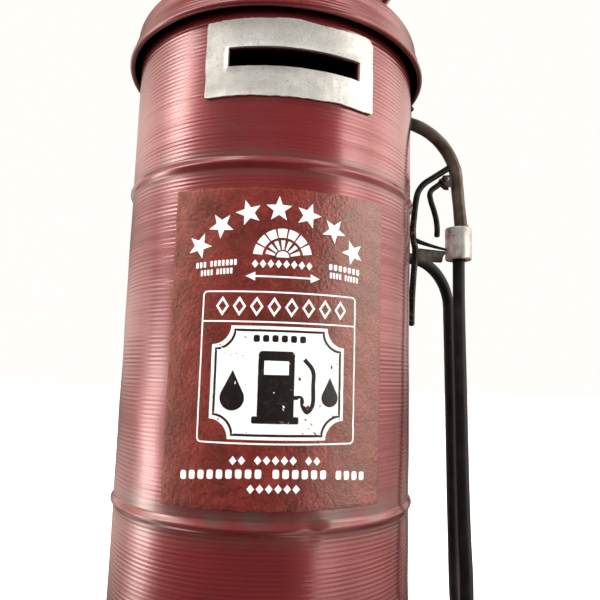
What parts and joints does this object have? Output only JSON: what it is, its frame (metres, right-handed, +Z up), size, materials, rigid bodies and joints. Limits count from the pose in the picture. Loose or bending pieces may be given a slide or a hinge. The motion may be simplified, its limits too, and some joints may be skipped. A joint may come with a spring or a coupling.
{
  "type": "gas pump coin bank",
  "caption": "Tinplate coin bank in the shape of an old gas pump: rolled drum with a coin slot, flared foot, domed cap, round globe, and a nozzle with trigger and hose on its side.",
  "frame": {"origin": "on the surface it stands on, under the drum's axis, at the centre of the felt pad", "axes": "+Z up along the drum's axis, -Y to the front (label and coin slot), +X towards the nozzle"},
  "size_m": [0.1644, 0.1408, 0.4036],
  "materials": {
    "red_paint": "satin metallic red enamel over rolled tinplate, rubbed dark at the beads",
    "label_print": "matt printed tin sheet, rust red with off-white art",
    "pewter": "beaten and brushed pewter-grey tin",
    "bronze": "antique bronze, dark with bright rubbed edges",
    "black_iron": "black-brown wire, satin",
    "steel": "grey zinc-plated steel",
    "rubber": "black rubber, half gloss",
    "felt": "dark felt",
    "globe_print": "off-white enamel on tin"
  },
  "bodies": {
    "bank": {"foot": "red_paint", "closing_disc": "steel", "felt_pad": "felt", "drum": "red_paint", "label_panel": "label_print", "slot_plate": "pewter", "cap": "red_paint", "globe_saddle": "red_paint", "globe_band": "red_paint", "globe_face_front": "globe_print", "globe_face_back": "globe_print", "globe_bezel_front": "red_paint", "globe_bezel_back": "red_paint", "globe_bolt": "steel", "globe_washer": "steel", "globe_nut": "steel", "spout_flange": "black_iron", "flange_screw_top": "black_iron", "flange_screw_bottom": "black_iron", "hose_grommet": "rubber", "hose": "rubber"},
    "nozzle": {"spout_tube": "bronze", "nozzle_sleeve": "pewter", "trigger_guard": "black_iron", "guard_strap": "steel", "trigger_clevis": "steel", "trigger_pin": "steel"},
    "trigger": {"trigger": "black_iron"},
    "plug": {"coin_plug": "rubber"}
  },
  "joints": [
    {"name": "nozzle_pull", "type": "slide", "parent": "bank", "child": "nozzle", "axis": [1, 0, 0], "range_m": [0, 0.014], "deforming": ["hose"]},
    {"name": "trigger_squeeze", "type": "hinge", "parent": "nozzle", "child": "trigger", "pos_m": [0.075, 0, 0.2151], "axis": [0, -1, 0], "range_deg": [0, 5], "stiffness_Nm_per_rad": 0.002, "springref_deg": -14.32},
    {"name": "plug_pull", "type": "slide", "parent": "bank", "child": "plug", "axis": [0, 0, -1], "range_m": [0, 0.012]}
  ]
}
